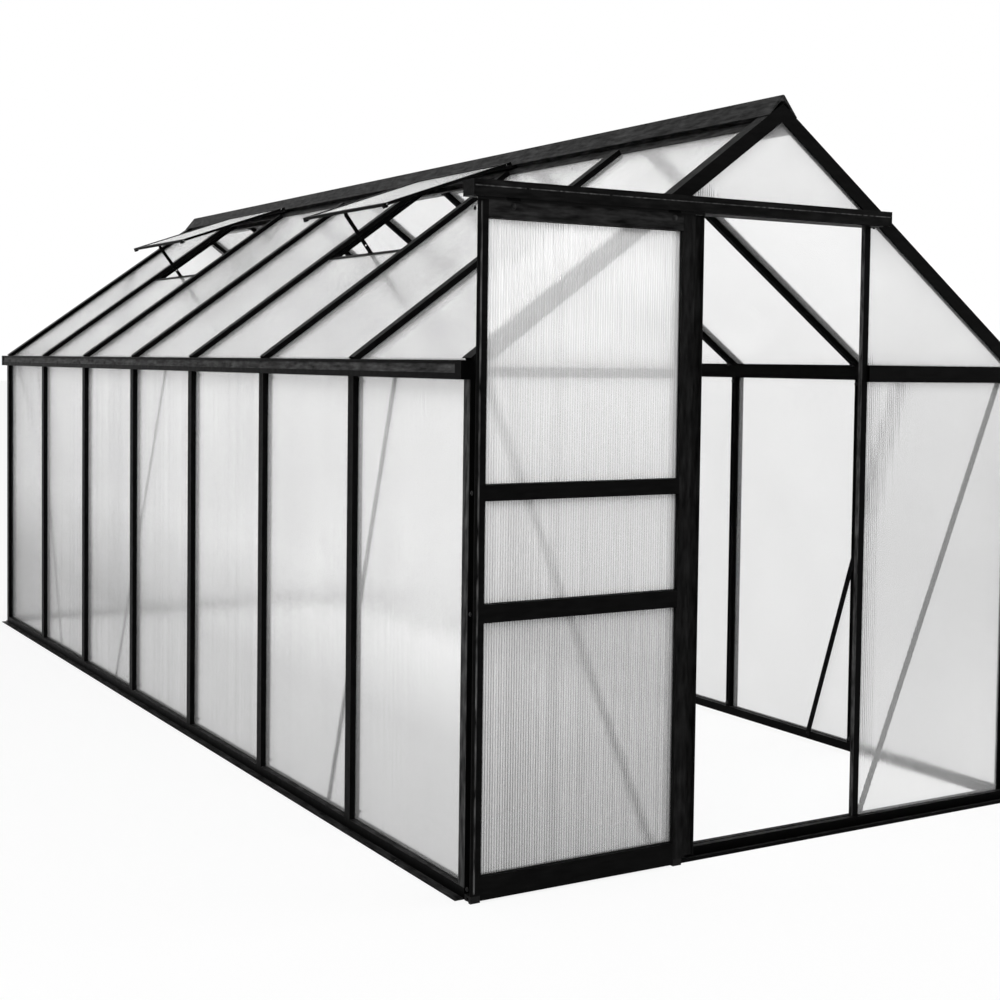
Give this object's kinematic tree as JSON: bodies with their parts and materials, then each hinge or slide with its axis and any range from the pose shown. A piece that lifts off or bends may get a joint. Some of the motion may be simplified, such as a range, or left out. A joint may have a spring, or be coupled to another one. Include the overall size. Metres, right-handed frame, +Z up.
{
  "type": "greenhouse",
  "caption": "Gabled hobby greenhouse: coated aluminium frame with polycarbonate sheets, a top-hung sliding door and propped roof vents.",
  "frame": {"origin": "on the ground at the centre of the whole outline", "axes": "+X to the right seen from the door, +Y along the ridge away from the door, +Z up"},
  "size_m": [1.9, 4.52, 1.967],
  "materials": {
    "frame": "satin black powder coat",
    "door_frame": "satin black powder coat",
    "sheet": "clear twin-wall polycarbonate",
    "zinc": "zinc plated",
    "nylon": "black nylon"
  },
  "bodies": {
    "frame": {"base_front": "frame", "base_rear": "frame", "base_left": "frame", "base_right": "frame", "corner_posts": "frame", "left_wall_posts": "frame", "right_wall_posts": "frame", "door_posts": "frame", "rear_gable_posts": "frame", "left_gutter": "frame", "right_gutter": "frame", "front_eave_bars": "frame", "rear_eave_bars": "frame", "front_cross_bar": "frame", "ridge_beam": "frame", "front_rafters": "frame", "rear_rafters": "frame", "left_roof_bars": "frame", "right_roof_bars": "frame", "left_wall_sheets": "sheet", "right_wall_sheets": "sheet", "left_roof_sheets": "sheet", "right_roof_sheets": "sheet", "front_gable_sheets": "sheet", "rear_gable_sheets": "sheet", "left_wall_braces": "frame", "right_wall_braces": "frame", "front_gable_braces": "frame", "rear_gable_braces": "frame", "vent_frames": "frame", "vent_sheets": "sheet", "vent_sills": "frame", "vent_stays": "frame", "door_track": "frame"},
    "door": {"door_left_stile": "door_frame", "door_right_stile": "door_frame", "door_top_rail": "door_frame", "door_bottom_rail": "door_frame", "door_middle_rails": "door_frame", "door_sheets": "sheet", "door_hangers": "zinc", "door_rollers": "nylon", "door_guides": "nylon"}
  },
  "joints": [
    {"name": "door_slide", "type": "slide", "parent": "frame", "child": "door", "axis": [1, 0, 0], "range_m": [0, 0.605]}
  ]
}
